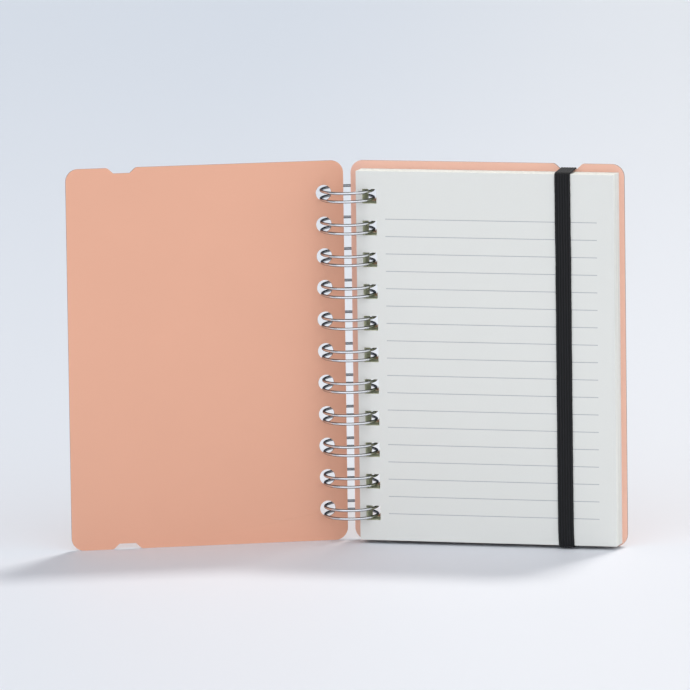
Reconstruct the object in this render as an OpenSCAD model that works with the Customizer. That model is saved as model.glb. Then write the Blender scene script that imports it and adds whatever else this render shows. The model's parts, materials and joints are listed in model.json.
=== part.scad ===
// Pocket notebook: a twin-loop wire bound block of ruled leaves between two
// plastic covers, standing open on its bottom edges, with an elastic band
// looped round the leaves and the back cover. Units are millimetres, +Z is up,
// the loops' shared axis is vertical and the leaves face -Y.

/* [Leaves] */
// Width of a leaf
leaf_w = 105; // [74:0.5:170]
// Height of a leaf
leaf_h = 148; // [105:0.5:250]
// Thickness of the whole stack of leaves
stack_t = 9.8; // [4:0.1:12]
// Air gap between one leaf and the next
leaf_gap = 0.03; // [0.01:0.01:0.05]
// Side of the square holes punched in the leaves
leaf_hole = 5.8; // [5.3:0.1:8]
// Clearance between the wire and the spine side of the leaves' holes
leaf_hole_play = 0.285; // [0.1:0.005:2]
// Distance from the spine edge of a leaf to its holes
leaf_hole_edge = 2.6; // [1.5:0.1:6]

/* [Covers] */
// Thickness of the cover sheet
cover_t = 0.8; // [0.4:0.1:2]
// How far the covers reach beyond the fore edge of the leaves
margin_fore = 2.1; // [1:0.1:8]
// How far the covers reach above the leaves
margin_top = 3.2; // [1:0.1:8]
// How far the covers reach below the leaves
margin_foot = 1.5; // [1:0.1:8]
// Radius of the cover corners
cover_corner_r = 5; // [1:0.5:12]
// Diameter of the round holes punched in the covers
cover_hole_d = 6.3; // [6:0.1:8]
// Distance from the loops' axis to the spine edge of a cover
cover_spine_u = 0.269; // [0.1:0.001:4]
// Depth of the band notches in the top and bottom edges
notch_depth = 2.2; // [1:0.1:5]
// Extra width of a notch floor over the band
notch_play = 0.4; // [0.2:0.1:2]
// How much wider a notch is at its mouth than at its floor
notch_flare = 4.8; // [0:0.1:10]
// Rounding of the shoulders at a notch's mouth
notch_shoulder_r = 2; // [0.2:0.1:4]
// Distance from the fore edge of a cover to the middle of the notches
notch_from_fore = 22.5; // [12:0.5:40]

/* [Wire] */
// Diameter of the wire itself
wire_d = 1.1; // [0.7:0.05:1.2]
// Outside diameter of the closed loops
loop_od = 21.3; // [17:0.1:26]
// Distance between one double loop and the next
loop_pitch = 12.7; // [10:0.1:15]
// Distance between the two wires of one double loop
pair_gap = 3.4; // [2:0.1:3.5]
// How far the wire hangs below the centres of the cover holes
wire_sag = 0.4; // [0:0.1:0.5]
// Angle round the loops at which the closing seam lies
seam_at = 62; // [58:1:75]
// Gap left in the seam between the loop tips and the root bars
seam_gap = 0.3; // [0.1:0.05:1]
// Bend radius of the wire where a loop turns into a root bar
root_bend_r = 1.2; // [0.8:0.1:2]

/* [Band] */
// Width of the elastic band
band_w = 6.2; // [3:0.1:12]
// Thickness of the elastic band
band_t = 0.8; // [0.4:0.1:2]
// Clearance between the band and the closed front cover
band_gap = 0.2; // [0.1:0.05:1]

/* [Standing pose] */
// Angle by which the leaves and back cover are swung towards the viewer
block_angle = 13; // [0:0.5:40]
// Angle by which the open front cover is swung towards the viewer
cover_angle = 13; // [0:0.5:40]

/* [Hidden] */
leaf_count = 50;
// as many double loops as fit between the ends of the leaves
loops = floor((leaf_h - 8) / loop_pitch);
loop_r = (loop_od - wire_d) / 2;
leaf_pitch = stack_t / leaf_count;
leaf_t = leaf_pitch - leaf_gap;
// both covers lie this far from the loops' axis when the book is shut
cover_v = (stack_t + band_t + band_gap + cover_t) / 2;
stack_v0 = cover_v - cover_t / 2 - stack_t;
// the leaf that lies furthest from the loops' axis meets the wire nearest the spine
far_v = max(-stack_v0, stack_v0 + stack_t);
far_u = sqrt(loop_r * loop_r - far_v * far_v);
wire_near_u = far_u - wire_d / 2 * loop_r / far_u;
leaf_hole_u = wire_near_u - leaf_hole_play + leaf_hole / 2;
leaf_u0 = leaf_hole_u - leaf_hole / 2 - leaf_hole_edge;
leaf_u1 = leaf_u0 + leaf_w;
leaf_z0 = margin_foot;
leaf_top = leaf_z0 + leaf_h;
cover_hole_u = sqrt(loop_r * loop_r - cover_v * cover_v);
cover_u0 = cover_spine_u;
cover_u1 = leaf_u1 + margin_fore;
cover_h = leaf_top + margin_top;
hole_z0 = (cover_h - (loops - 1) * loop_pitch) / 2;
notch_floor_w = band_w + notch_play;
notch_u = cover_u1 - notch_from_fore;
band_back_v = cover_v + cover_t / 2;
band_foot = min(leaf_z0, notch_depth);
band_head = max(leaf_top, cover_h - notch_depth);
pair_r = pair_gap / 2;
root_bar_h = loop_pitch - pair_gap - 2 * root_bend_r;
// beads this much thicker than the wire close its joins
bead_extra = 0.06;
// the tips and the root bars meet across the seam
seam_tip = seam_at + (pair_r + wire_d / 2 + seam_gap / 2) / loop_r * 180 / PI;
seam_root = seam_at - (root_bend_r + wire_d / 2 + seam_gap / 2) / loop_r * 180 / PI;
// the origin is the middle of the bounding box, at its bottom
max_x = cover_u1 * cos(block_angle) + (cover_v + cover_t / 2) * sin(block_angle);
min_x = -cover_u1 * cos(cover_angle) - (cover_v + cover_t / 2) * sin(cover_angle);
min_leaf_y = -leaf_u1 * sin(block_angle) + stack_v0 * cos(block_angle);
min_cover_y = -cover_u1 * sin(cover_angle) + (cover_v - cover_t / 2) * cos(cover_angle);
min_y = min(min_leaf_y, min_cover_y);
max_y = loop_od / 2;
ox = (max_x + min_x) / 2;
oy = (max_y + min_y) / 2;
$fn = 64;

module cover_outline() {
  difference() {
    translate([cover_u0, 0]) square([cover_u1 - cover_u0, cover_h]);
    translate([cover_u0, 0]) cover_corner();
    translate([cover_u1, 0]) mirror([1, 0]) cover_corner();
    translate([cover_u0, cover_h]) mirror([0, 1]) cover_corner();
    translate([cover_u1, cover_h]) rotate(180) cover_corner();
    translate([notch_u, 0]) notch_outline();
    translate([notch_u, cover_h]) mirror([0, 1]) notch_outline();
    for (k = [0 : loops - 1])
      translate([cover_hole_u, hole_z0 + k * loop_pitch]) circle(d = cover_hole_d);
  }
}

module cover_corner() {
  difference() {
    translate([-1, -1]) square(cover_corner_r + 1);
    translate([cover_corner_r, cover_corner_r]) circle(r = cover_corner_r);
  }
}

module notch_outline() {
  lean = atan2(notch_depth, notch_flare / 2);
  round_r = min(notch_shoulder_r, 0.9 * notch_depth / (1 - cos(lean)));
  mouth = notch_floor_w / 2 + notch_flare / 2 + round_r * tan(lean / 2);
  shoulder = [for (i = [0 : 5]) let (a = -90 - lean * i / 5)
    [mouth + round_r * cos(a), round_r + round_r * sin(a)]];
  side = concat([[mouth, -1]], shoulder, [[notch_floor_w / 2, notch_depth]]);
  polygon(concat(side, [for (i = [len(side) - 1 : -1 : 0]) [-side[i][0], side[i][1]]]));
}

module leaf_outline() {
  difference() {
    translate([leaf_u0, leaf_z0]) square([leaf_w, leaf_h]);
    for (k = [0 : loops - 1])
      translate([leaf_hole_u, hole_z0 - wire_sag + k * loop_pitch])
        square(leaf_hole, center = true);
  }
}

module leaf(i) {
  color([0.93, 0.94, 0.93])
    translate([-ox, -oy, 0])
      rotate([0, 0, -block_angle])
        translate([0, stack_v0 + i * leaf_pitch - leaf_gap / 2, 0])
          rotate([90, 0, 0])
            linear_extrude(height = leaf_t)
              leaf_outline();
}

module front_cover() {
  color([0.89, 0.68, 0.60])
    translate([-ox, -oy, 0])
      rotate([0, 0, cover_angle - 180])
        translate([0, -cover_v + cover_t / 2, 0])
          rotate([90, 0, 0])
            linear_extrude(height = cover_t)
              cover_outline();
}

module back_cover() {
  color([0.89, 0.68, 0.60])
    translate([-ox, -oy, 0])
      rotate([0, 0, -block_angle])
        translate([0, cover_v + cover_t / 2, 0])
          rotate([90, 0, 0])
            linear_extrude(height = cover_t)
              cover_outline();
}

// one wire of a double loop, open at the seam
module loop_wire(z) {
  translate([0, 0, z])
    rotate([0, 0, seam_tip])
      rotate_extrude(angle = 360 - seam_tip + seam_root)
        translate([loop_r, 0])
          circle(d = wire_d);
}

// a short bead that blends two lengths of wire
module bead() {
  sphere(d = wire_d + bead_extra);
}

// the hairpin that joins the two wires of a double loop
module loop_tip(z) {
  rotate([0, 0, seam_tip])
    translate([loop_r, 0, z]) {
      rotate([0, 90, 180])
        rotate_extrude(angle = 180)
          translate([pair_r, 0])
            circle(d = wire_d);
      translate([0, 0, pair_r]) bead();
      translate([0, 0, -pair_r]) bead();
    }
}

// the root bar that runs from the loop at z up to the next one
module root_bar(z) {
  rotate([0, 0, seam_root])
    translate([loop_r, 0, z + pair_r]) {
      bead();
      translate([0, 0, root_bend_r])
        rotate([0, 90, 0])
          rotate_extrude(angle = 90)
            translate([root_bend_r, 0])
              circle(d = wire_d);
      translate([0, root_bend_r, root_bend_r]) {
        bead();
        cylinder(d = wire_d, h = root_bar_h);
      }
      translate([0, root_bend_r, root_bend_r + root_bar_h]) bead();
      translate([0, 0, root_bend_r + root_bar_h])
        rotate([0, -90, 0])
          rotate_extrude(angle = 90)
            translate([root_bend_r, 0])
              circle(d = wire_d);
      translate([0, 0, 2 * root_bend_r + root_bar_h]) bead();
    }
}

module wire_binding() {
  color([0.78, 0.79, 0.80])
    translate([-ox, -oy, hole_z0 - wire_sag])
      rotate([0, 0, -block_angle])
        union() {
          for (k = [0 : loops - 1]) {
            loop_wire(k * loop_pitch - pair_r);
            loop_wire(k * loop_pitch + pair_r);
            loop_tip(k * loop_pitch);
          }
          for (k = [0 : loops - 2])
            root_bar(k * loop_pitch);
        }
}

module elastic_band() {
  color([0.12, 0.12, 0.13])
    translate([-ox, -oy, 0])
      rotate([0, 0, -block_angle])
        translate([notch_u - band_w / 2, 0, 0])
          rotate([90, 0, 90])
            linear_extrude(height = band_w)
              difference() {
                band_outer();
                band_inner();
              }
}

// the band's outline round the block, seen from the fore edge
module band_outer() {
  bevel = band_t * 0.7;
  polygon([
    [stack_v0 - band_t, band_foot - band_t + bevel],
    [stack_v0 - band_t + bevel, band_foot - band_t],
    [band_back_v + band_t - bevel, band_foot - band_t],
    [band_back_v + band_t, band_foot - band_t + bevel],
    [band_back_v + band_t, band_head + band_t - bevel],
    [band_back_v + band_t - bevel, band_head + band_t],
    [band_back_v - cover_t, band_head + band_t],
    [stack_v0 - band_t + bevel, leaf_top + band_t],
    [stack_v0 - band_t, leaf_top + band_t - bevel]
  ]);
}

module band_inner() {
  polygon([
    [stack_v0, band_foot],
    [band_back_v, band_foot],
    [band_back_v, band_head],
    [band_back_v - cover_t, band_head],
    [stack_v0, leaf_top]
  ]);
}

wire_binding();
front_cover();
back_cover();
elastic_band();
leaf(1);  // leaf_01
leaf(2);  // leaf_02
leaf(3);  // leaf_03
leaf(4);  // leaf_04
leaf(5);  // leaf_05
leaf(6);  // leaf_06
leaf(7);  // leaf_07
leaf(8);  // leaf_08
leaf(9);  // leaf_09
leaf(10);  // leaf_10
leaf(11);  // leaf_11
leaf(12);  // leaf_12
leaf(13);  // leaf_13
leaf(14);  // leaf_14
leaf(15);  // leaf_15
leaf(16);  // leaf_16
leaf(17);  // leaf_17
leaf(18);  // leaf_18
leaf(19);  // leaf_19
leaf(20);  // leaf_20
leaf(21);  // leaf_21
leaf(22);  // leaf_22
leaf(23);  // leaf_23
leaf(24);  // leaf_24
leaf(25);  // leaf_25
leaf(26);  // leaf_26
leaf(27);  // leaf_27
leaf(28);  // leaf_28
leaf(29);  // leaf_29
leaf(30);  // leaf_30
leaf(31);  // leaf_31
leaf(32);  // leaf_32
leaf(33);  // leaf_33
leaf(34);  // leaf_34
leaf(35);  // leaf_35
leaf(36);  // leaf_36
leaf(37);  // leaf_37
leaf(38);  // leaf_38
leaf(39);  // leaf_39
leaf(40);  // leaf_40
leaf(41);  // leaf_41
leaf(42);  // leaf_42
leaf(43);  // leaf_43
leaf(44);  // leaf_44
leaf(45);  // leaf_45
leaf(46);  // leaf_46
leaf(47);  // leaf_47
leaf(48);  // leaf_48
leaf(49);  // leaf_49
leaf(50);  // leaf_50
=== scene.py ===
"""Wire-bound pocket notebook: covers, ruled leaves, double-loop wire and elastic band, in a pale studio."""

import json
import math

import bmesh
import bpy
from mathutils import Matrix, Vector, noise


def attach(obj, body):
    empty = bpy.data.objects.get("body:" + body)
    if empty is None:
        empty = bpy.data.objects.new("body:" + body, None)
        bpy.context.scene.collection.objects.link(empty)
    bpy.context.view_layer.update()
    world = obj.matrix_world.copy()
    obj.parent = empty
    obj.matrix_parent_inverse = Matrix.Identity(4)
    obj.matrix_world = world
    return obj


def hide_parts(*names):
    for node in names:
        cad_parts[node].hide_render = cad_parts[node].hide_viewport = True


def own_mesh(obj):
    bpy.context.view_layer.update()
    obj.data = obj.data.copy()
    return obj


bl_info = {
    "name": "Pocket notebook",
    "version": (1, 0, 0),
    "blender": (4, 5, 0),
    "location": "3D View > Sidebar > Notebook",
    "description": "Dresses the notebook's covers, leaves, wire and band, and sets up the studio",
    "category": "Object",
}

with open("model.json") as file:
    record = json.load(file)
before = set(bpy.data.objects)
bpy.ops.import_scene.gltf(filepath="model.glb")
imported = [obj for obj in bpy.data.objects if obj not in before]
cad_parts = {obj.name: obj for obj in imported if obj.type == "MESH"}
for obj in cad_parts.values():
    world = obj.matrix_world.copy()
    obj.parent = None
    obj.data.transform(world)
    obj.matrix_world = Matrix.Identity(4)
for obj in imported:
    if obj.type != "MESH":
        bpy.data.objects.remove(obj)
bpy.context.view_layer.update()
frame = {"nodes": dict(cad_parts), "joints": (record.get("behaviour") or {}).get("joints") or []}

MM = 0.001
UP = Vector((0, 0, 1))
# how far inside a surface, or outside it, still counts as on it
SKIN = 0.02 * MM


# ---------------------------------------------------------------- places read from the frame

def joint(name):
    """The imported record's joint of that name."""
    return next(j for j in frame["joints"] if j["name"] == name)


LOOP_AXIS = Vector(joint("front_cover_hinge")["pos_m"])
LOOP_AXIS.z = 0
REARWARD = Vector(joint("band_release")["axis"]).normalized()
ALONG = REARWARD.cross(UP)
CLOSING = math.radians(joint("front_cover_hinge")["range_deg"][1])
FRONT_REARWARD = Matrix.Rotation(-CLOSING, 3, "Z") @ REARWARD
FRONT_ALONG = FRONT_REARWARD.cross(UP)
LEAVES = sorted(n for n in frame["nodes"] if n.startswith("leaf_"))


def reach(node, direction):
    """How far a node reaches from the loops' axis along a direction, as (least, most) in metres."""
    found = [(v.co - LOOP_AXIS).dot(direction) for v in frame["nodes"][node].data.vertices]
    return min(found), max(found)


# ---------------------------------------------------------------- settings

def colour_setting(name, default, description):
    return bpy.props.FloatVectorProperty(name=name, description=description, subtype="COLOR",
                                         size=3, min=0, max=1, default=default)


def length_setting(name, default, description, least=0):
    """A length whose default and least values are given in millimetres."""
    return bpy.props.FloatProperty(name=name, description=description, default=default * MM,
                                   min=least * MM, unit="LENGTH", precision=5)


class NotebookCoverSettings(bpy.types.PropertyGroup):
    """The matt plastic covers."""
    colour: colour_setting("Cover colour", (0.860, 0.448, 0.305), "Colour of the matt plastic sheet")
    # painted light: the back cover's paler colour stands in for light through the sheet from behind and a sheen from
    # the front left
    painted_light_back_colour: colour_setting("Back cover colour", (0.935, 0.553, 0.425),
                                "Colour of the back cover's slightly paler sheet")
    # painted shade: the cut and punched edges of the covers get this dark colour in place of their shade
    edge_colour: colour_setting("Cut edge colour", (0.085, 0.045, 0.035),
                                "Colour of the punched and cut edges")
    roughness: bpy.props.FloatProperty(name="Roughness", description="How matt the sheet is",
                                       min=0, max=1, default=0.52)
    edge_round: length_setting("Edge rounding", 0.38, "Width of the softened edge")
    grain: length_setting("Grain size", 0.35, "Size of the sheet's fine pressed grain")


class NotebookLeafSettings(bpy.types.PropertyGroup):
    """The ruled paper leaves."""
    colour: colour_setting("Paper colour", (0.818, 0.817, 0.776), "Colour of the paper")
    line_colour: colour_setting("Line colour", (0.42, 0.43, 0.45), "Colour of the ruled lines")
    edge_colour: colour_setting("Cut edge colour", (0.895, 0.90, 0.85),
                                "Colour of the stack's cut edges")
    # painted shade: this olive tint stands in for the shade inside the punched holes
    painted_hole_shade_colour: colour_setting("Punched edge colour", (0.86, 0.88, 0.66),
                                   "Colour of the paper's crushed edges inside the punched holes")
    line_count: bpy.props.IntProperty(name="Ruled lines", description="How many lines a page has",
                                      min=0, default=18)
    line_spacing: length_setting("Line spacing", 6.95, "Distance from line to line")
    line_width: length_setting("Line width", 0.28, "Thickness of a ruled line")
    head_margin: length_setting("Head margin", 19.07, "From the leaf's top edge to the first line")
    spine_margin: length_setting("Spine margin", 11.9, "From the spine edge to where lines begin")
    fore_margin: length_setting("Fore margin", 6.9, "From the fore edge to where lines end")


class NotebookWireSettings(bpy.types.PropertyGroup):
    """The plated steel double-loop wire."""
    colour: colour_setting("Wire colour", (0.80, 0.81, 0.83), "Colour of the plated steel")
    # painted shade: this dark colour stands in for shade on the loops' inner side and for dark reflections along the
    # wire's upper and lower flanks
    painted_shade_colour: colour_setting("Painted shade colour", (0.17, 0.175, 0.19),
                                "Colour on the loops' inner side and along the wire's upper and lower flanks")
    roughness: bpy.props.FloatProperty(name="Wire roughness", description="How dull the plating is",
                                       min=0, max=1, default=0.17)
    thickness: length_setting("Wire thickness", 1.1, "Diameter of the wire itself", least=0.1)
    loops: bpy.props.IntProperty(name="Double loops", description="How many double loops hold the leaves",
                                 min=2, default=11)
    pair_gap: length_setting("Pair gap", 3.4, "Distance between the two wires of a double loop")
    seam: bpy.props.FloatProperty(name="Seam place",
                                  description="Angle round the loops where they close, behind the back cover",
                                  default=math.radians(62), subtype="ANGLE")
    seam_gap: length_setting("Seam gap", 0.3, "Gap between the loop tips and the root bars")
    bend: length_setting("Root bend", 1.2, "Bend radius where a loop turns into a root bar", least=0.2)
    stretch: bpy.props.FloatProperty(name="Stretch",
                                     description="Share by which the leaves pull the loops out of round on their side",
                                     default=0.06, min=0, max=0.1)
    hang: bpy.props.FloatProperty(name="Hang",
                                  description="How far the loops droop towards the reader under the book's weight",
                                  default=math.radians(2.7), subtype="ANGLE")


class NotebookBandSettings(bpy.types.PropertyGroup):
    """The woven elastic band."""
    colour: colour_setting("Band colour", (0.0070, 0.0072, 0.0082), "Colour of the elastic's yarn")
    ribs: bpy.props.IntProperty(name="Ribs", description="Covered rubber cords across the band",
                                min=1, default=6)
    rib_height: length_setting("Rib height", 0.26, "How far a rib stands above its valleys")
    step: length_setting("Step", 0.6, "Length of one row of faces along the band", least=0.1)


class NotebookStudioSettings(bpy.types.PropertyGroup):
    """The floor, the light and the camera."""
    floor_colour: colour_setting("Floor colour", (0.765, 0.79, 0.845), "Colour of the pale floor")
    key_strength: bpy.props.FloatProperty(name="Key light", description="Strength of the light from behind",
                                          min=0, default=1.5)
    fill_strength: bpy.props.FloatProperty(name="Fill light",
                                           description="Strength of the light from the front",
                                           min=0, default=1.1)
    side_strength: bpy.props.FloatProperty(name="Side light",
                                           description="Strength of the light from the right",
                                           min=0, default=0.5)
    sky_strength: bpy.props.FloatProperty(name="Surrounding light",
                                          description="Strength of the light all round",
                                          min=0, default=0.42)
    camera_distance: bpy.props.FloatProperty(name="Camera distance",
                                             description="From the aim point to the camera",
                                             default=3.4762, min=0.1, unit="LENGTH")
    camera_azimuth: bpy.props.FloatProperty(name="Camera azimuth",
                                            description="Degrees round to the right of straight ahead",
                                            default=2.1719)
    camera_elevation: bpy.props.FloatProperty(name="Camera elevation", description="Degrees above level",
                                              default=7.5971)
    camera_roll: bpy.props.FloatProperty(name="Camera roll", description="Degrees the camera leans",
                                         default=-0.7917)
    camera_lens: bpy.props.FloatProperty(name="Lens",
                                         description="Focal length for a 36 mm wide sensor, in millimetres",
                                         default=455.23)
    aim_across: length_setting("Aim across", -1.4614,
                               "Aim point to the right of the loops' axis", least=-1000)
    aim_height: length_setting("Aim height", 79.1337, "Aim point above the floor", least=-1000)


# ---------------------------------------------------------------- a finish's nodes

class Finish:
    """One procedural material, with short ways to add and join its nodes."""

    def __init__(self, name):
        self.material = bpy.data.materials.new(name)
        self.material.use_nodes = True
        self.tree = self.material.node_tree
        self.surface = self.tree.nodes["Principled BSDF"]
        self.here = self.add("ShaderNodeTexCoord").outputs["Object"]

    def add(self, kind, **settings):
        node = self.tree.nodes.new(kind)
        for name, value in settings.items():
            setattr(node, name, value)
        return node

    def join(self, value, socket):
        """Puts a number, a colour or another node's output into a socket."""
        if isinstance(value, bpy.types.NodeSocket):
            self.tree.links.new(value, socket)
        else:
            socket.default_value = value

    def sum(self, kind, a, b=0.0, c=0.0, clamp=False):
        node = self.add("ShaderNodeMath", operation=kind, use_clamp=clamp)
        for value, socket in zip((a, b, c), node.inputs):
            self.join(value, socket)
        return node.outputs[0]

    def along(self, direction, start=0.0):
        """Distance along a direction from the loops' axis, less start."""
        node = self.add("ShaderNodeVectorMath", operation="DOT_PRODUCT")
        self.join(self.here, node.inputs[0])
        node.inputs[1].default_value = direction
        return self.sum("SUBTRACT", node.outputs["Value"], LOOP_AXIS.dot(direction) + start)

    def step_up(self, value, start, end):
        """0 up to start and 1 from end, and smooth between them."""
        node = self.add("ShaderNodeMapRange", interpolation_type="SMOOTHSTEP", clamp=True)
        self.join(value, node.inputs["Value"])
        node.inputs["From Min"].default_value = start
        node.inputs["From Max"].default_value = end
        return node.outputs["Result"]

    def noise(self, size, detail=2.0, roughness=0.5, at=None):
        """Soft noise about 0.5, with features of that size in metres."""
        node = self.add("ShaderNodeTexNoise")
        self.join(at or self.here, node.inputs["Vector"])
        node.inputs["Scale"].default_value = 1 / size
        node.inputs["Detail"].default_value = detail
        node.inputs["Roughness"].default_value = roughness
        return node.outputs["Fac"]

    def stretched(self, factors, at=None):
        node = self.add("ShaderNodeVectorMath", operation="MULTIPLY")
        self.join(at or self.here, node.inputs[0])
        node.inputs[1].default_value = factors
        return node.outputs["Vector"]

    def mixed(self, share, a, b, kind="MIX"):
        node = self.add("ShaderNodeMix", data_type="RGBA", blend_type=kind)
        self.join(share, node.inputs[0])
        for value, socket in ((a, node.inputs[6]), (b, node.inputs[7])):
            self.join((*value, 1.0) if isinstance(value, (tuple, list)) else value, socket)
        return node.outputs[2]

    def toned(self, colour, value, least, most):
        """The colour times a grey that runs from least to most with value."""
        node = self.add("ShaderNodeMapRange", clamp=True)
        self.join(value, node.inputs["Value"])
        node.inputs["To Min"].default_value = least
        node.inputs["To Max"].default_value = most
        grey = self.add("ShaderNodeCombineColor")
        for socket in grey.inputs[:3]:
            self.join(node.outputs["Result"], socket)
        return self.mixed(1.0, colour, grey.outputs[0], "MULTIPLY")

    def raised(self, height, distance, strength=1.0, under=None):
        node = self.add("ShaderNodeBump")
        node.inputs["Strength"].default_value = strength
        node.inputs["Distance"].default_value = distance
        self.join(height, node.inputs["Height"])
        if under is not None:
            self.join(under, node.inputs["Normal"])
        return node.outputs["Normal"]

    def set(self, **sockets):
        for name, value in sockets.items():
            if isinstance(value, (tuple, list)) and len(value) == 3:
                value = (*value, 1.0)
            self.join(value, self.surface.inputs[name.replace("_", " ")])


def colour_of(settings, name):
    return tuple(getattr(settings, name))


def dress(obj, material):
    """Gives an object that one material, whatever it came with."""
    obj.data.materials.clear()
    obj.data.materials.append(material)


def placed(mesh, name):
    """Turns a finished bmesh into an object of that name in the scene."""
    data = bpy.data.meshes.new(name)
    mesh.to_mesh(data)
    mesh.free()
    obj = bpy.data.objects.new(name, data)
    bpy.context.scene.collection.objects.link(obj)
    return obj


# ---------------------------------------------------------------- covers

def cover_finish(name, settings, colour, rearward, middle, thickness):
    """Matt pressed plastic sheet: fine grain on the faces, and painted shade on the cut edges."""
    edge_shade_start, edge_shade_end = 0.18 * MM, 0.01 * MM
    f = Finish(name)
    off = f.sum("ABSOLUTE", f.along(rearward, middle))
    face = f.step_up(off, thickness / 2 - edge_shade_start, thickness / 2 - edge_shade_end)
    cloud = f.noise(34 * MM, 2.0)
    fine = f.noise(settings.grain, 3.0, 0.6)
    tone = f.toned(f.toned(colour, cloud, 0.975, 1.025), fine, 0.985, 1.015)
    # the edge faces take the edge colour: painted shade
    f.set(Base_Color=f.mixed(face, colour_of(settings, "edge_colour"), tone),
          Roughness=f.sum("ADD", f.sum("MULTIPLY", f.noise(2.2 * MM, 2.0), 0.10),
                          settings.roughness - 0.05),
          Normal=f.raised(fine, 0.035 * MM, 0.6))
    f.surface.inputs["Specular IOR Level"].default_value = 0.35
    f.surface.inputs["IOR"].default_value = 1.49
    return f.material


class NOTEBOOK_OT_covers(bpy.types.Operator):
    """Softens the covers' edges and gives them their matt plastic"""
    bl_idname = "notebook.covers"
    bl_label = "Covers"

    def execute(self, context):
        settings = context.scene.notebook_cover
        # the back cover takes the paler colour, which is painted light
        for node, rearward, colour in (("front_cover", FRONT_REARWARD, "colour"),
                                       ("back_cover", REARWARD, "painted_light_back_colour")):
            cover = frame["nodes"][node]
            low, high = reach(node, rearward)
            weld = cover.modifiers.new("Join corners", "WELD")
            weld.merge_threshold = 0.002 * MM
            soften = cover.modifiers.new("Soften edges", "BEVEL")
            soften.width = settings.edge_round
            soften.segments = 2
            soften.limit_method = "ANGLE"
            soften.angle_limit = math.radians(50)
            dress(cover, cover_finish(node + "_plastic", settings, colour_of(settings, colour),
                                      rearward, (low + high) / 2, high - low))
        return {"FINISHED"}


# ---------------------------------------------------------------- leaves

def leaf_finish(settings):
    """Uncoated white paper with printed lines on both sides and soft, slightly uneven cut edges."""
    f = Finish("ruled_paper")
    first = LEAVES[0]
    spine, fore = reach(first, ALONG)
    top = reach(first, UP)[1]
    back = reach(LEAVES[-1], REARWARD)[1]
    front = reach(first, REARWARD)[0]
    pitch = (back - front) / len(LEAVES)
    across = f.along(ALONG)
    depth = f.along(REARWARD, front)
    height = f.along(UP)

    row = f.sum("DIVIDE", f.sum("SUBTRACT", top - settings.head_margin, height), settings.line_spacing)
    beside = f.sum("MULTIPLY", f.sum("PINGPONG", row, 0.5), settings.line_spacing)
    half = settings.line_width / 2
    line = f.sum("SUBTRACT", 1.0, f.step_up(beside, half * 0.75, half * 1.25))
    for kind, value, limit in (("GREATER_THAN", row, -0.5), ("LESS_THAN", row, settings.line_count - 0.5),
                               ("GREATER_THAN", across, spine + settings.spine_margin),
                               ("LESS_THAN", across, fore - settings.fore_margin)):
        line = f.sum("MULTIPLY", line, f.sum(kind, value, limit))
    ink = f.sum("MULTIPLY", line, f.sum("ADD", f.sum("MULTIPLY", f.noise(0.5 * MM, 1.0), 0.35), 0.72))

    # the first hole's sides and the rows' pitch, from the leaf's own corners
    sides = sorted({round((v.co - LOOP_AXIS).dot(ALONG), 5) for v in frame["nodes"][first].data.vertices})
    levels = sorted({round(v.co.z, 5) for v in frame["nodes"][first].data.vertices})
    hole_side, hole_low, hole_pitch = (sides[2] - sides[1]) / 2, levels[1], levels[3] - levels[1]
    from_hole = f.sum("ABSOLUTE", f.sum("SUBTRACT", across, (sides[1] + sides[2]) / 2))
    hole_row = f.sum("DIVIDE", f.sum("SUBTRACT", height, hole_low + hole_side), hole_pitch)
    up_hole = f.sum("MULTIPLY", f.sum("PINGPONG", hole_row, 0.5), hole_pitch)
    in_rows = f.sum("MULTIPLY", f.sum("GREATER_THAN", hole_row, -0.5),
                    f.sum("LESS_THAN", hole_row, (levels[-2] - hole_low) / hole_pitch))
    in_hole = f.sum("MULTIPLY", f.sum("LESS_THAN", from_hole, hole_side + SKIN),
                    f.sum("LESS_THAN", up_hole, hole_side + SKIN))
    punched = f.sum("MULTIPLY", in_rows, in_hole)

    cloud = f.noise(26 * MM, 2.0)
    fibre = f.noise(0.45 * MM, 4.0, 0.65)
    paper = f.toned(f.toned(colour_of(settings, "colour"), cloud, 0.99, 1.01), fibre, 0.975, 1.025)

    which = f.add("ShaderNodeTexWhiteNoise", noise_dimensions="1D")
    f.join(f.sum("FLOOR", f.sum("DIVIDE", depth, pitch)), which.inputs["W"])
    top_or_spine = f.sum("MAXIMUM", f.sum("GREATER_THAN", height, top - SKIN),
                         f.sum("LESS_THAN", across, spine + SKIN))
    rim = f.sum("MAXIMUM", f.sum("GREATER_THAN", across, fore - SKIN), top_or_spine)
    streak = f.noise(1.3 * MM, 1.0, 0.5, f.stretched((1, 1, 0.02)))
    by_leaf = f.toned(colour_of(settings, "edge_colour"), which.outputs["Value"], 0.90, 1.06)
    paper = f.mixed(rim, paper, f.toned(by_leaf, streak, 0.80, 1.18))
    # painted shade inside the punched holes, varied from leaf to leaf
    painted_hole_shade = f.toned(colour_of(settings, "painted_hole_shade_colour"), which.outputs["Value"], 0.75, 1.15)
    paper = f.mixed(punched, paper, painted_hole_shade)
    f.set(Base_Color=f.mixed(ink, paper, colour_of(settings, "line_colour")),
          Roughness=f.sum("ADD", f.sum("MULTIPLY", fibre, 0.12), 0.74),
          Normal=f.raised(fibre, 0.03 * MM, 0.5))
    f.surface.inputs["Specular IOR Level"].default_value = 0.25
    return f.material


class NOTEBOOK_OT_leaves(bpy.types.Operator):
    """Gives every leaf its ruled paper"""
    bl_idname = "notebook.leaves"
    bl_label = "Leaves"

    def execute(self, context):
        paper = leaf_finish(context.scene.notebook_leaf)
        for node in LEAVES:
            dress(frame["nodes"][node], paper)
        return {"FINISHED"}


# ---------------------------------------------------------------- wire

# points along a loop's side, round a hairpin tip and round a root bend
LOOP_STEPS = 84
HAIRPIN_STEPS = 12
BEND_STEPS = 6
# most that the wire's height wavers, and how far in front of the axis the leaves hold it level
UNEVENNESS = 0.12 * MM
HANGS_FROM = 7 * MM


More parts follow.
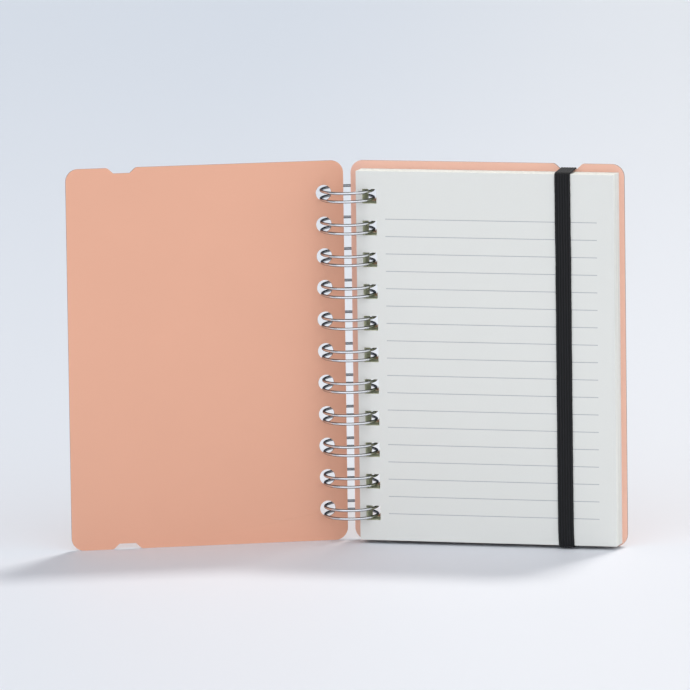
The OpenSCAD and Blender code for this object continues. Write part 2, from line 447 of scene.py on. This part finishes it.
def flat_wire(settings, radius):
    """The wire's middle line unrolled, as (length round the loops, height) points from end to end.

    It runs down one side of each double loop, round its hairpin, back, and up the root bar.
    """
    foot, top = reach("wire_binding", UP)
    half_pair = settings.pair_gap / 2
    first = foot + settings.thickness / 2 + half_pair
    pitch = (top - foot - settings.thickness - settings.pair_gap) / (settings.loops - 1)
    half_gap = (settings.thickness + settings.seam_gap) / 2
    tip = settings.seam * radius + half_pair + half_gap - 2 * math.pi * radius
    root = settings.seam * radius - settings.bend - half_gap
    flat = []
    for k in range(settings.loops):
        middle = first + k * pitch
        flat += [(root + (tip - root) * i / LOOP_STEPS, middle - half_pair) for i in range(LOOP_STEPS + 1)]
        for i in range(1, HAIRPIN_STEPS):
            turned = math.pi * i / HAIRPIN_STEPS
            flat.append((tip - half_pair * math.sin(turned), middle - half_pair * math.cos(turned)))
        flat += [(tip + (root - tip) * i / LOOP_STEPS, middle + half_pair) for i in range(LOOP_STEPS + 1)]
        if k == settings.loops - 1:
            break
        for centre, turn in ((middle + half_pair + settings.bend, 1),
                             (middle + pitch - half_pair - settings.bend, -1)):
            bend = []
            for i in range(BEND_STEPS + 1):
                angle = math.pi / 2 * i / BEND_STEPS
                bend.append((root + settings.bend * math.sin(angle),
                             centre - turn * settings.bend * math.cos(angle)))
            flat += bend[1:] if turn > 0 else bend[:0:-1]
    return flat


def wire_line(settings):
    """The wire's middle line rolled round the loops' axis, drooping and slightly uneven."""
    outermost = max(math.hypot(*(v.co - LOOP_AXIS).xy) for v in frame["nodes"]["wire_binding"].data.vertices)
    radius = outermost - settings.thickness / 2
    slope = math.tan(settings.hang)
    line = []
    for along, height in flat_wire(settings, radius):
        angle = along / radius
        out, rear = radius * math.cos(angle), radius * math.sin(angle)
        out *= 1 + settings.stretch * (out > 0)
        spot = Vector((height * 110, math.sin(angle) * 0.8, math.cos(angle) * 0.8))
        uneven = UNEVENNESS * noise.noise(spot)
        line.append(LOOP_AXIS + ALONG * out + REARWARD * rear
                    + UP * (height + (rear + HANGS_FROM) * slope + uneven))
    return line


def drawn_tube(name, line, radius, sides=14):
    """A round wire swept along a line, with domed ends, as one closed mesh."""
    mesh = bmesh.new()
    last = len(line) - 1
    tangents = [(line[min(i + 1, last)] - line[max(i - 1, 0)]).normalized() for i in range(last + 1)]
    normal = tangents[0].orthogonal().normalized()
    rings = []
    rows = [(line[0] - tangents[0] * radius * 0.5, tangents[0], 0.6)]
    rows += [(point, tangent, 1.0) for point, tangent in zip(line, tangents)]
    rows += [(line[-1] + tangents[-1] * radius * 0.5, tangents[-1], 0.6)]
    for point, tangent, size in rows:
        normal = (normal - tangent * normal.dot(tangent)).normalized()
        other = tangent.cross(normal)
        angles = (2 * math.pi * k / sides for k in range(sides))
        rings.append([mesh.verts.new(point + (normal * math.cos(a) + other * math.sin(a)) * radius * size)
                      for a in angles])
    for a, b in zip(rings, rings[1:]):
        for k in range(sides):
            mesh.faces.new((a[k], a[(k + 1) % sides], b[(k + 1) % sides], b[k])).smooth = True
    mesh.faces.new(rings[0][::-1])
    mesh.faces.new(rings[-1])
    bmesh.ops.recalc_face_normals(mesh, faces=mesh.faces)
    return placed(mesh, name)


def wire_finish(settings):
    """Bright plated steel, with painted shade on the loops' inner side and a painted dark reflection along the upper
    and lower flanks.
    """
    f = Finish("plated_steel")
    cloud = f.noise(3.0 * MM, 2.0)
    scuff = f.noise(0.25 * MM, 3.0, 0.6, f.stretched((1, 1, 4)))
    from_axis = f.add("ShaderNodeVectorMath", operation="SUBTRACT")
    f.join(f.here, from_axis.inputs[0])
    from_axis.inputs[1].default_value = LOOP_AXIS
    outward = f.add("ShaderNodeVectorMath", operation="NORMALIZE")
    f.join(f.stretched((1, 1, 0), from_axis.outputs["Vector"]), outward.inputs[0])
    faces = f.add("ShaderNodeTexCoord").outputs["Normal"]
    outer, level = (f.add("ShaderNodeVectorMath", operation="DOT_PRODUCT") for _ in range(2))
    for node, way in ((outer, outward.outputs["Vector"]), (level, tuple(UP))):
        f.join(faces, node.inputs[0])
        f.join(way, node.inputs[1])
    # painted shade on the loops' inner side, and a painted dark reflection on the upper and lower flanks; dull carries
    # both
    inner = f.step_up(f.sum("MULTIPLY", outer.outputs["Value"], -1.0), 0.1, 0.6)
    flanks = f.step_up(f.sum("ABSOLUTE", level.outputs["Value"]), 0.36, 0.76)
    dull = f.sum("MAXIMUM", flanks, f.sum("MULTIPLY", inner, 0.78))
    bright = f.toned(colour_of(settings, "colour"), cloud, 0.93, 1.05)
    f.set(Base_Color=f.mixed(dull, bright, colour_of(settings, "painted_shade_colour")),
          Roughness=f.sum("ADD", f.sum("MULTIPLY", scuff, 0.14), settings.roughness - 0.05),
          Normal=f.raised(scuff, 0.008 * MM, 0.5))
    f.surface.inputs["Metallic"].default_value = 1.0
    f.surface.inputs["Specular Tint"].default_value = (0.30, 0.31, 0.33, 1.0)
    return f.material


class NOTEBOOK_OT_wire(bpy.types.Operator):
    """Draws the double-loop wire as one smooth length of bright plated steel"""
    bl_idname = "notebook.wire"
    bl_label = "Wire"

    def execute(self, context):
        settings = context.scene.notebook_wire
        wire = drawn_tube("drawn_wire", wire_line(settings), settings.thickness / 2)
        dress(wire, wire_finish(settings))
        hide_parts("wire_binding")
        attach(wire, "back_cover_and_wire")
        return {"FINISHED"}


# ---------------------------------------------------------------- band

# points round a corner of the band's path, and the corner's reach
CORNER_STEPS = 7
CORNER_REACH = 1.1 * MM
# rows of faces to each rib
RIB_ROWS = 5
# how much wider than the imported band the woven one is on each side, and how far it lies to the spine's side
BAND_WIDER = 0.12 * MM
BAND_SHIFT = 0.15 * MM
# the band's slow sway, its swing at the foot and how high that reaches, and its edges' raggedness
SWAY = 0.16 * MM
FOOT_SWING = 0.35 * MM
FOOT_REACH = 9 * MM
RAGGED = 0.06 * MM


def band_path(inner_front, outer_rear, foot, top_front, top_rear, thick, step):
    """The band's middle line round the leaves and the back cover, as (rearward, height) points."""
    half = thick / 2
    corners = [(inner_front - half, foot - half), (outer_rear + half, foot - half),
               (outer_rear + half, top_rear + half), (inner_front - half, top_front + half)]
    points = []
    for i in range(len(corners)):
        here, before, after = (Vector(corners[(i + k) % 4]) for k in (0, -1, 1))
        start = here + (before - here).normalized() * CORNER_REACH
        end = here + (after - here).normalized() * CORNER_REACH
        for k in range(CORNER_STEPS + 1):
            t = k / CORNER_STEPS
            points.append(start.lerp(here, t).lerp(here.lerp(end, t), t))
    dense = []
    for a, b in zip(points, points[1:] + points[:1]):
        pieces = max(1, round((b - a).length / step))
        dense += [a.lerp(b, k / pieces) for k in range(pieces)]
    return dense


def band_place():
    """The band's middle across, half width and thickness, and the path's bounds as band_path wants them."""
    left, right = reach("elastic_band", ALONG)
    top = reach("elastic_band", UP)[1]
    leaf_front = reach(LEAVES[0], REARWARD)[0]
    leaf_foot, leaf_top = reach(LEAVES[0], UP)
    cover_rear = reach("back_cover", REARWARD)[1]
    thick = reach("elastic_band", REARWARD)[1] - cover_rear
    bounds = (leaf_front - SKIN, cover_rear + SKIN, leaf_foot - SKIN, leaf_top + SKIN, top - thick)
    return (left + right) / 2 - BAND_SHIFT, (right - left) / 2 + BAND_WIDER, thick, bounds


def woven_band(settings, middle, half_width, thick, bounds):
    """The ribbed band as a closed loop: each ring goes across the outer side and back along the inner one."""
    path = band_path(*bounds, thick, settings.step)
    foot = reach("elastic_band", UP)[0]
    count = len(path)
    rows = settings.ribs * RIB_ROWS
    mesh = bmesh.new()
    weave = mesh.loops.layers.uv.new("weave")
    length = [0.0]
    for a, b in zip(path, path[1:] + path[:1]):
        length.append(length[-1] + (b - a).length)
    rings = []
    for i, point in enumerate(path):
        before, after = path[i - 1], path[(i + 1) % count]
        tangent = (after - before).normalized()
        outward = Vector((tangent.y, -tangent.x))
        ring = []
        sway = SWAY * noise.noise(Vector((length[i] * 60, 3.1, 0)))
        sway += FOOT_SWING * max(0.0, 1 - (point.y - foot) / FOOT_REACH) ** 2
        for side in (1, -1):
            for k in range(rows + 1):
                share = k / rows if side > 0 else 1 - k / rows
                across = 2 * share - 1
                rib = abs(math.sin(math.pi * settings.ribs * share)) ** 0.7
                rim = 1 - max(0.0, (abs(across) - 0.93) / 0.07) ** 2
                if side > 0:
                    height = thick / 2 - settings.rib_height * (1 - rib)
                else:
                    height = thick / 2 - 0.02 * MM - 0.05 * MM * (1 - rib)
                height *= 0.35 + 0.65 * rim
                edge = RAGGED * noise.noise(Vector((length[i] * 700, across * 2, 7.7))) * abs(across) ** 6
                spot = point + outward * (height * side)
                u = middle + across * (half_width - 0.04 * MM) + sway + edge
                place = LOOP_AXIS + ALONG * u + REARWARD * spot.x + UP * spot.y
                ring.append((mesh.verts.new(place), share))
        rings.append(ring)
    for i in range(count):
        a, b = rings[i], rings[(i + 1) % count]
        for k in range(len(a)):
            n = (k + 1) % len(a)
            face = mesh.faces.new((a[k][0], a[n][0], b[n][0], b[k][0]))
            face.smooth = True
            for loop, (share, at) in zip(face.loops, ((a[k][1], length[i]), (a[n][1], length[i]),
                                                      (b[n][1], length[i + 1]), (b[k][1], length[i + 1]))):
                loop[weave].uv = (share * 2 * half_width / MM, at / MM)
    bmesh.ops.recalc_face_normals(mesh, faces=mesh.faces)
    return placed(mesh, "woven_band")


def band_finish(settings, half_width):
    """Black covered elastic: stitches that lean from rib to rib, with painted shade in the valleys and painted
    highlight on the ribs and raised stitches.
    """
    f = Finish("black_elastic")
    parts = f.add("ShaderNodeSeparateXYZ")
    f.join(f.add("ShaderNodeUVMap", uv_map="weave").outputs["UV"], parts.inputs[0])
    ribs_across = f.sum("DIVIDE", parts.outputs["X"], 2 * half_width / MM / settings.ribs)
    lean = f.sum("MULTIPLY", f.sum("PINGPONG", f.sum("FLOOR", ribs_across), 1.0), 0.5)
    pick = f.sum("ADD", f.sum("DIVIDE", parts.outputs["Y"], 0.55), lean)
    stitch = f.sum("MULTIPLY", f.sum("PINGPONG", pick, 0.5), 2.0)
    valley = f.sum("MULTIPLY", f.sum("PINGPONG", ribs_across, 0.5), 2.0)
    yarn = f.noise(0.12 * MM, 3.0, 0.6)
    height = f.sum("ADD", f.sum("MULTIPLY", stitch, 0.7), f.sum("MULTIPLY", yarn, 0.5))
    # painted shade in the valleys and painted highlight on the ribs and on the raised stitches
    colour = f.toned(f.toned(colour_of(settings, "colour"), valley, 0.25, 1.6), height, 0.75, 1.5)
    f.set(Base_Color=colour, Roughness=f.sum("ADD", f.sum("MULTIPLY", yarn, 0.2), 0.62),
          Normal=f.raised(height, 0.08 * MM, 0.8))
    f.surface.inputs["Sheen Weight"].default_value = 0.12
    f.surface.inputs["Sheen Roughness"].default_value = 0.4
    f.surface.inputs["Specular IOR Level"].default_value = 0.3
    return f.material


class NOTEBOOK_OT_band(bpy.types.Operator):
    """Weaves the ribbed elastic band round the leaves and the back cover"""
    bl_idname = "notebook.band"
    bl_label = "Elastic band"

    def execute(self, context):
        settings = context.scene.notebook_band
        middle, half_width, thick, bounds = band_place()
        band = woven_band(settings, middle, half_width, thick, bounds)
        dress(band, band_finish(settings, half_width))
        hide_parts("elastic_band")
        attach(band, "elastic_band_body")
        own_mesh(band)
        return {"FINISHED"}


# ---------------------------------------------------------------- studio

# radius and rise of the floor's rings, in metres: level for a long way, then sweeping up as a backdrop
FLOOR_SWEEP = ((5, 0), (6, 0.04), (7, 0.18), (8, 0.5), (9, 1.1), (9.6, 1.8))
FLOOR_SIDES = 96
# the floor's painted falloff of light: its tones near the notebook and its greyer colours far behind it, at the left
# and at the right
NEAR_PAINTED_LIGHT_TONES = ((0.965, 0.975, 0.985), (1.10, 1.085, 1.07))
FAR_PAINTED_SHADE_COLOURS = ((0.632, 0.68, 0.757), (0.735, 0.764, 0.813))
# the sky's tint, and its brightness at the horizon, 14 degrees up and 64 degrees up
SKY_TINT = (0.905, 0.985, 1.075)
SKY_BEHIND = (0.42, 0.60, 1.05)
SKY_IN_FRONT = (0.95, 1.25, 1.05)



def standing_at(azimuth, elevation):
    """The direction from the middle to something that stands at those angles, in radians."""
    return Vector((math.sin(azimuth) * math.cos(elevation), -math.cos(azimuth) * math.cos(elevation),
                   math.sin(elevation)))


def soft_sun(name, azimuth, elevation, strength, spread, colour):
    """A broad distant light. Its azimuth is in degrees round to the right from straight in front."""
    data = bpy.data.lights.new(name, "SUN")
    data.energy = strength
    data.angle = math.radians(spread)
    data.color = colour
    light = bpy.data.objects.new(name, data)
    stands = standing_at(math.radians(azimuth), math.radians(elevation))
    light.rotation_euler = stands.to_track_quat("Z", "Y").to_euler()
    light.location = stands * 3
    bpy.context.scene.collection.objects.link(light)


def make_floor(settings):
    """The pale floor, with a painted falloff of light: greyer far away and on the left."""
    mesh = bmesh.new()
    rings = []
    for radius, rise in FLOOR_SWEEP:
        angles = (2 * math.pi * k / FLOOR_SIDES for k in range(FLOOR_SIDES))
        rings.append([mesh.verts.new((radius * math.cos(a), radius * math.sin(a), rise)) for a in angles])
    mesh.faces.new(rings[0])
    for inner, outer in zip(rings, rings[1:]):
        for k in range(FLOOR_SIDES):
            mesh.faces.new((inner[k - 1], outer[k - 1], outer[k], inner[k])).smooth = True
    floor = placed(mesh, "floor")
    f = Finish("pale_floor")
    rightward = f.step_up(f.along(Vector((1, 0, 0))), -0.16, 0.18)
    backward = f.step_up(f.along(Vector((0, 1, 0))), 0.0, 2.4)
    tone = f.mixed(rightward, *NEAR_PAINTED_LIGHT_TONES)
    near = f.mixed(1.0, colour_of(settings, "floor_colour"), tone, "MULTIPLY")
    f.set(Base_Color=f.mixed(backward, near, f.mixed(rightward, *FAR_PAINTED_SHADE_COLOURS)))
    f.surface.inputs["Roughness"].default_value = 0.6
    f.surface.inputs["Specular IOR Level"].default_value = 0.2
    dress(floor, f.material)


def make_sky(settings):
    """Soft light all round, brighter low in front of the notebook than low behind it."""
    world = bpy.data.worlds.new("studio")
    bpy.context.scene.world = world
    world.use_nodes = True
    tree = world.node_tree
    sky = tree.nodes["Background"]
    coords = tree.nodes.new("ShaderNodeTexCoord")
    parts = tree.nodes.new("ShaderNodeSeparateXYZ")
    tree.links.new(coords.outputs["Generated"], parts.inputs[0])
    reader = tree.nodes.new("ShaderNodeMapRange")
    reader.interpolation_type = "SMOOTHSTEP"
    reader.inputs["From Min"].default_value, reader.inputs["From Max"].default_value = 0.2, -0.75
    tree.links.new(parts.outputs["Y"], reader.inputs["Value"])
    mix = tree.nodes.new("ShaderNodeMix")
    mix.data_type = "RGBA"
    tree.links.new(reader.outputs["Result"], mix.inputs[0])
    for socket, (low, middle, high) in zip(mix.inputs[6:8], (SKY_BEHIND, SKY_IN_FRONT)):
        ramp = tree.nodes.new("ShaderNodeValToRGB")
        tree.links.new(parts.outputs["Z"], ramp.inputs["Fac"])
        steps = ramp.color_ramp.elements
        steps[0].position, steps[1].position = 0.0, 0.9
        for step, value in ((steps[0], low), (steps[1], high), (steps.new(0.25), middle)):
            step.color = (*(value * tint for tint in SKY_TINT), 1)
        tree.links.new(ramp.outputs["Color"], socket)
    tree.links.new(mix.outputs[2], sky.inputs["Color"])
    sky.inputs["Strength"].default_value = settings.sky_strength


def make_camera(settings):
    """The camera, looking back at the aim point from its azimuth and elevation, and leaning by its roll."""
    roll = math.radians(settings.camera_roll)
    back = standing_at(math.radians(settings.camera_azimuth), math.radians(settings.camera_elevation))
    aim = LOOP_AXIS + Vector((settings.aim_across, 0, settings.aim_height))
    right = (-back).cross(UP).normalized()
    upward = right.cross(-back)
    leaned_right = right * math.cos(roll) + upward * math.sin(roll)
    leaned_up = upward * math.cos(roll) - right * math.sin(roll)
    data = bpy.data.cameras.new("camera")
    data.sensor_width = 36
    data.lens = settings.camera_lens
    data.clip_start, data.clip_end = 0.05, 200
    camera = bpy.data.objects.new("camera", data)
    bpy.context.scene.collection.objects.link(camera)
    place = Matrix((leaned_right, leaned_up, back)).transposed().to_4x4()
    place.translation = aim + back * settings.camera_distance
    camera.matrix_world = place
    bpy.context.scene.camera = camera


class NOTEBOOK_OT_studio(bpy.types.Operator):
    """Makes the pale floor, the soft light and the camera"""
    bl_idname = "notebook.studio"
    bl_label = "Studio"

    def execute(self, context):
        settings = context.scene.notebook_studio
        context.scene.view_settings.view_transform = "Standard"
        make_floor(settings)
        make_sky(settings)
        soft_sun("key_light", 155, 61, settings.key_strength, 11, (1.0, 0.97, 0.925))
        soft_sun("fill_light", -6, 34, settings.fill_strength, 80, (0.95, 0.985, 1.03))
        soft_sun("side_light", 72, 28, settings.side_strength, 60, (1.0, 0.99, 0.98))
        make_camera(settings)
        return {"FINISHED"}


# ---------------------------------------------------------------- add-on

OPERATORS = (NOTEBOOK_OT_covers, NOTEBOOK_OT_leaves, NOTEBOOK_OT_wire, NOTEBOOK_OT_band, NOTEBOOK_OT_studio)
SETTINGS = {
    "notebook_cover": NotebookCoverSettings,
    "notebook_leaf": NotebookLeafSettings,
    "notebook_wire": NotebookWireSettings,
    "notebook_band": NotebookBandSettings,
    "notebook_studio": NotebookStudioSettings,
}


class NOTEBOOK_PT_pieces(bpy.types.Panel):
    """Lists the notebook's pieces, each with its settings and its button"""
    bl_label = "Pocket notebook"
    bl_idname = "NOTEBOOK_PT_pieces"
    bl_space_type = "VIEW_3D"
    bl_region_type = "UI"
    bl_category = "Notebook"

    def draw(self, context):
        for operator, group in zip(OPERATORS, SETTINGS):
            column = self.layout.column(align=True)
            settings = getattr(context.scene, group)
            for name in SETTINGS[group].__annotations__:
                column.prop(settings, name)
            column.operator(operator.bl_idname)


def register():
    for group in SETTINGS.values():
        bpy.utils.register_class(group)
    for name, group in SETTINGS.items():
        setattr(bpy.types.Scene, name, bpy.props.PointerProperty(type=group))
    for cls in (*OPERATORS, NOTEBOOK_PT_pieces):
        bpy.utils.register_class(cls)


def unregister():
    for cls in (NOTEBOOK_PT_pieces, *reversed(OPERATORS)):
        bpy.utils.unregister_class(cls)
    for name in SETTINGS:
        delattr(bpy.types.Scene, name)
    for group in reversed(list(SETTINGS.values())):
        bpy.utils.unregister_class(group)


def main():
    register()
    bpy.ops.notebook.covers()
    bpy.ops.notebook.leaves()
    bpy.ops.notebook.wire()
    bpy.ops.notebook.band()
    bpy.ops.notebook.studio()


if __name__ == "__main__":
    main()
